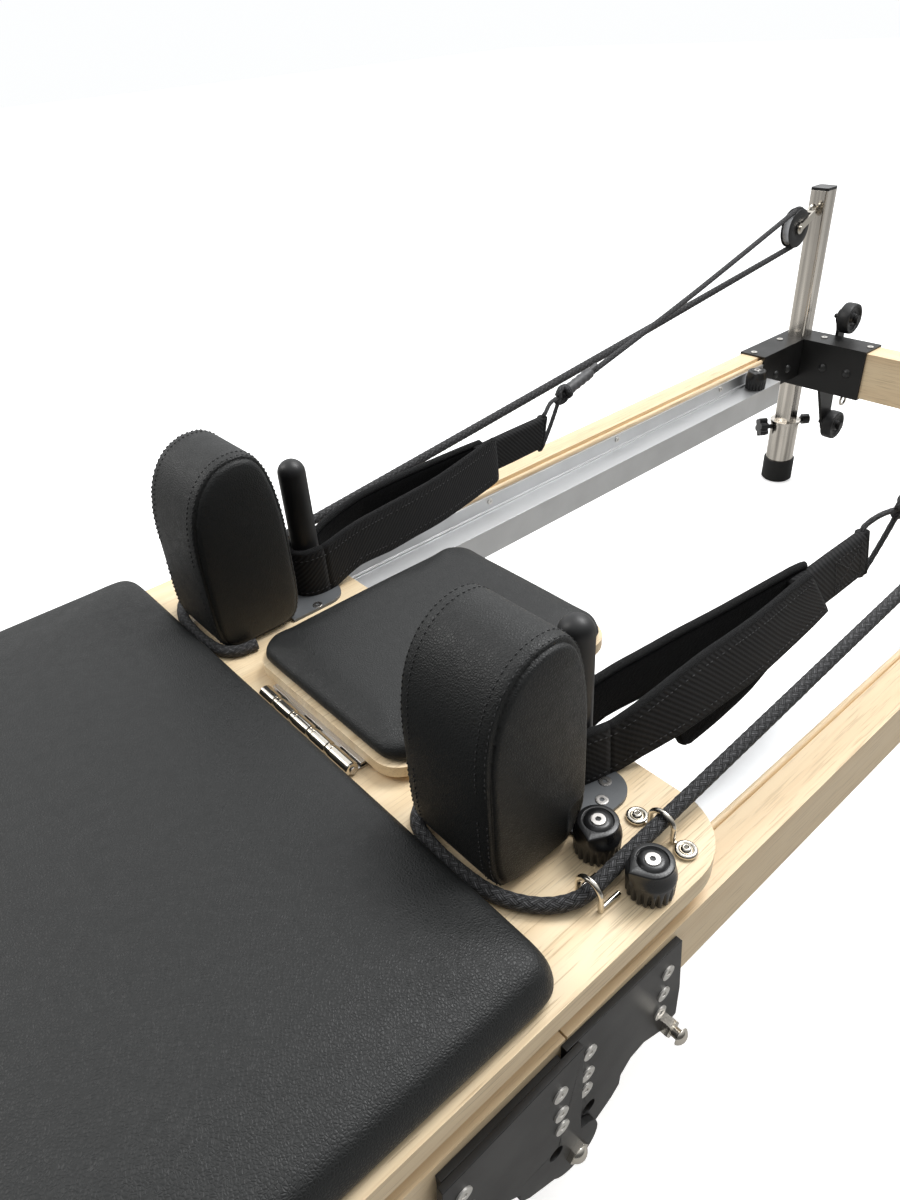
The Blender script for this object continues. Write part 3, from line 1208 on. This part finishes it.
def build_stage():
    size = 14.0
    floor = bpy.data.meshes.new("floor")
    floor.from_pydata([(-size, -size, 0), (size, -size, 0), (size, size, 0), (-size, size, 0)], [], [(0, 1, 2, 3)])
    obj = bpy.data.objects.new("floor", floor)
    bpy.context.scene.collection.objects.link(obj)
    p = Paint("studio_floor")
    glow = p.math("MULTIPLY", seen_directly(p.tree), FLOOR_GLOW)
    white = (1.0, 1.0, 1.0, 1.0)
    tone = p.mix(seen_directly(p.tree), (0.40, 0.395, 0.385), (0.88, 0.88, 0.88))
    obj.data.materials.append(p.done(Base_Color=tone, Roughness=0.8, Emission_Color=white, Emission_Strength=glow))
    obj.location.z = -0.5 * MM
    world = bpy.data.worlds.new("studio")
    bpy.context.scene.world = world
    world.use_nodes = True
    tree = world.node_tree
    sky = tree.nodes["Background"]
    sky.inputs["Color"].default_value = (0.985, 0.995, 1.0, 1)
    place = tree.nodes.new("ShaderNodeTexCoord")
    facing = tree.nodes.new("ShaderNodeVectorMath")
    facing.operation = "DOT_PRODUCT"
    tree.links.new(place.outputs["Generated"], facing.inputs[0])
    facing.inputs[1].default_value = Vector(BRIGHT_SIDE).normalized()
    lit = tree.nodes.new("ShaderNodeMapRange")
    lit.interpolation_type = "SMOOTHSTEP"
    tree.links.new(facing.outputs["Value"], lit.inputs["Value"])
    for key, value in (("From Min", -0.25), ("From Max", 0.9), ("To Min", SKY_DARK), ("To Max", SKY_LIGHT)):
        lit.inputs[key].default_value = value
    pick = tree.nodes.new("ShaderNodeMix")
    tree.links.new(seen_directly(tree), pick.inputs[0])
    tree.links.new(lit.outputs[0], pick.inputs[2])
    pick.inputs[3].default_value = 1.0
    tree.links.new(pick.outputs[0], sky.inputs["Strength"])


FLOOR_GLOW = 0.5
BRIGHT_SIDE = (0.40, 0.42, 0.80)
SKY_DARK, SKY_LIGHT = 0.12, 1.25


def area_light(name, spot, aim, size, power, tint=(1, 1, 1)):
    data = bpy.data.lights.new(name, "AREA")
    data.shape = "RECTANGLE"
    data.size, data.size_y = size
    data.energy = power
    data.color = tint
    obj = bpy.data.objects.new(name, data)
    bpy.context.scene.collection.objects.link(obj)
    obj.location = spot
    obj.rotation_euler = (Vector(aim) - Vector(spot)).to_track_quat("-Z", "Y").to_euler()


def build_lights():
    area_light("key", (-1.5, 1.9, 2.3), (0.1, 0, 0.3), (1.5, 1.5), 30, (1.0, 0.985, 0.96))
    area_light("ceiling", (1.5, -0.1, 2.7), (0.2, 0, 0.3), (1.3, 1.0), 44)
    area_light("sheen", (1.35, -0.45, 1.9), (0.0, -0.1, 0.3), (0.7, 0.5), 9)


def build_camera():
    """Camera at the photograph's viewing angle, turned slightly about its line of sight."""
    yaw, pitch, roll = math.radians(51.50126), math.radians(34.61485), math.radians(-4.43239)
    ahead = Vector((math.cos(pitch) * math.cos(yaw), math.cos(pitch) * math.sin(yaw), -math.sin(pitch)))
    right = ahead.cross(AXIS_Z).normalized()
    up = right.cross(ahead)
    turned_right = right * math.cos(roll) + up * math.sin(roll)
    turned_up = up * math.cos(roll) - right * math.sin(roll)
    data = bpy.data.cameras.new("camera")
    data.sensor_width = 36
    data.lens = 25.765
    data.clip_start = 0.01
    camera = bpy.data.objects.new("camera", data)
    bpy.context.scene.collection.objects.link(camera)
    pose = Matrix((turned_right, turned_up, -ahead)).transposed().to_4x4()
    pose.translation = Vector((-0.207, -0.4754, 0.780))
    camera.matrix_world = pose
    bpy.context.scene.camera = camera


build_cushions()
build_ropes()
build_knobs()
build_screws()
build_sheaves()
build_grip()
build_hinge()
build_wheels()
build_springs()
dress_cad_nodes()
build_stage()
build_lights()
build_camera()
bpy.context.scene.view_settings.view_transform = "Standard"
